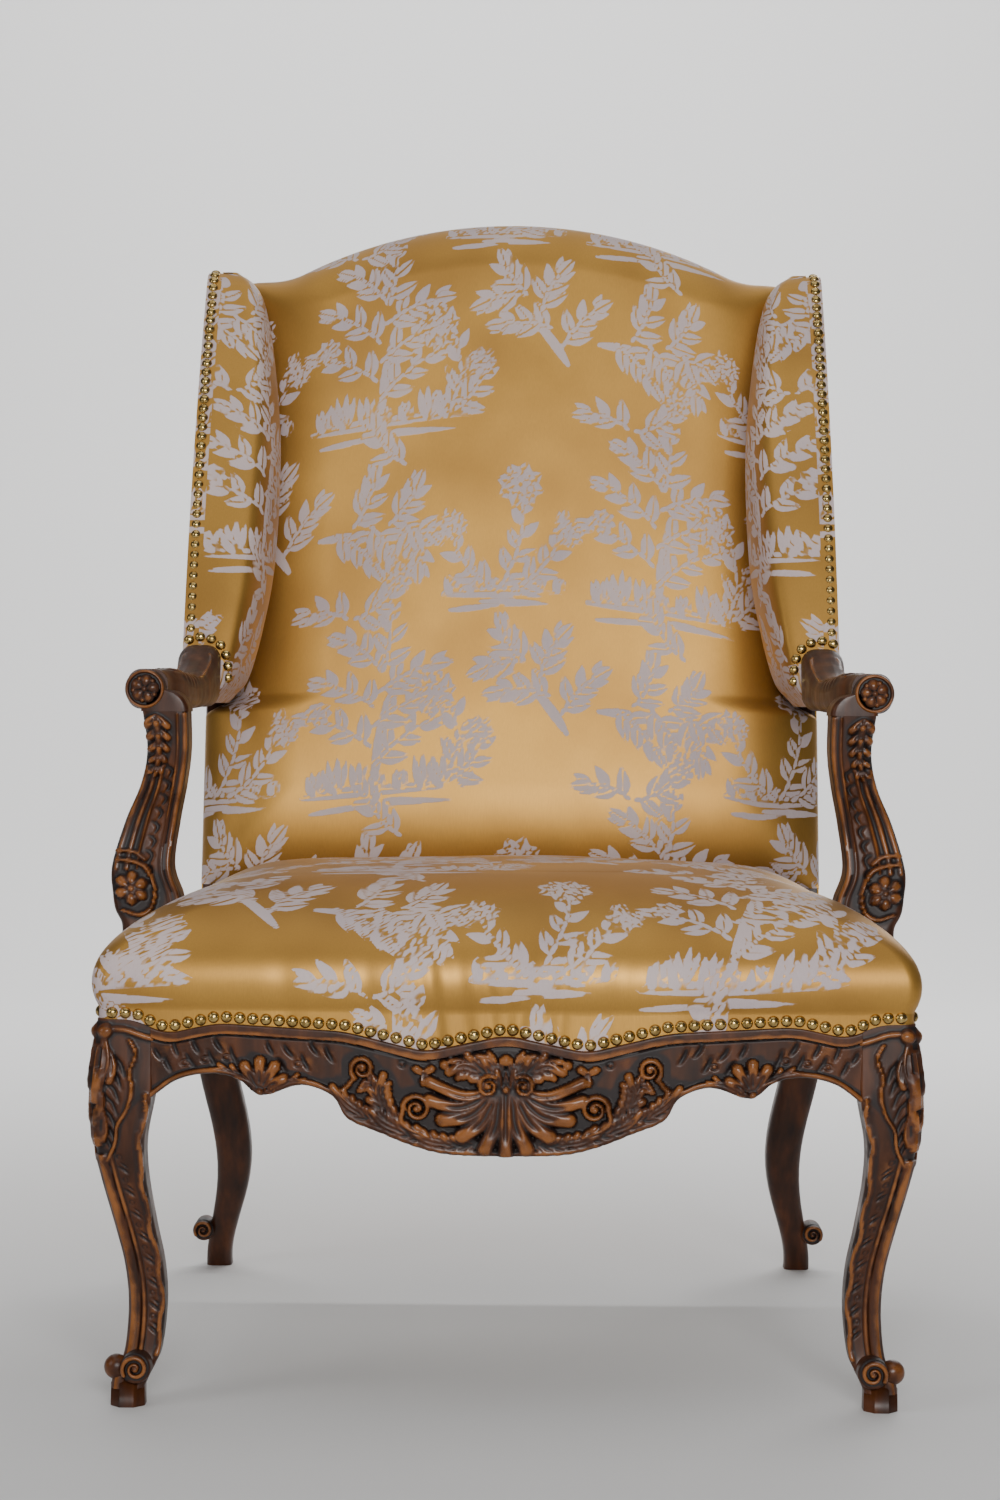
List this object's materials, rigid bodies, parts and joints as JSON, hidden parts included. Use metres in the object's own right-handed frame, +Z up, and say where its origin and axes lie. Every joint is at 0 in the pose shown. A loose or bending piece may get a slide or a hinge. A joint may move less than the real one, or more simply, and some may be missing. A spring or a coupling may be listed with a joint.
{
  "type": "wingback chair",
  "caption": "High-back wing armchair with open arms: carved walnut frame, cabriole legs, stuffed seat, humped back and wings in satin with dome nails.",
  "frame": {"origin": "on the floor, under the middle of the chair's box", "axes": "+Z up, the front faces -Y, +X to the right as seen from the front"},
  "size_m": [0.7324, 0.7476, 1.1412],
  "materials": {
    "carved_walnut": "waxed, rubbed edges",
    "frame_wood": "raw",
    "satin_brocade": "satin",
    "horsehair": "matte",
    "hessian": "matte",
    "jute_webbing": "matte",
    "antique_brass": "aged"
  },
  "bodies": {
    "root": {"front_rail": "carved_walnut", "rear_rail": "carved_walnut", "corner_blocks": "frame_wood", "crest_rail": "frame_wood", "lower_back_rail": "frame_wood", "seat_webbing": "jute_webbing", "seat_hessian": "hessian", "seat_stuffing": "horsehair", "seat_cover": "satin_brocade", "back_webbing": "jute_webbing", "back_stuffing": "horsehair", "back_cover": "satin_brocade", "outer_back_cover": "satin_brocade", "seat_front_nails": "antique_brass", "front_leg_left": "carved_walnut", "front_leg_right": "carved_walnut", "rear_leg_left": "carved_walnut", "rear_leg_right": "carved_walnut", "side_rail_left": "carved_walnut", "side_rail_right": "carved_walnut", "arm_left": "carved_walnut", "arm_right": "carved_walnut", "arm_support_left": "carved_walnut", "arm_support_right": "carved_walnut", "arm_dowel_left": "frame_wood", "arm_dowel_right": "frame_wood", "wing_front_stile_left": "frame_wood", "wing_front_stile_right": "frame_wood", "wing_top_rail_left": "frame_wood", "wing_top_rail_right": "frame_wood", "wing_lower_rail_left": "carved_walnut", "wing_lower_rail_right": "carved_walnut", "wing_outer_cover_left": "satin_brocade", "wing_outer_cover_right": "satin_brocade", "wing_stuffing_left": "horsehair", "wing_stuffing_right": "horsehair", "wing_cover_left": "satin_brocade", "wing_cover_right": "satin_brocade", "seat_side_nails_left": "antique_brass", "seat_side_nails_right": "antique_brass", "wing_nails_left": "antique_brass", "wing_nails_right": "antique_brass"}
  },
  "joints": []
}
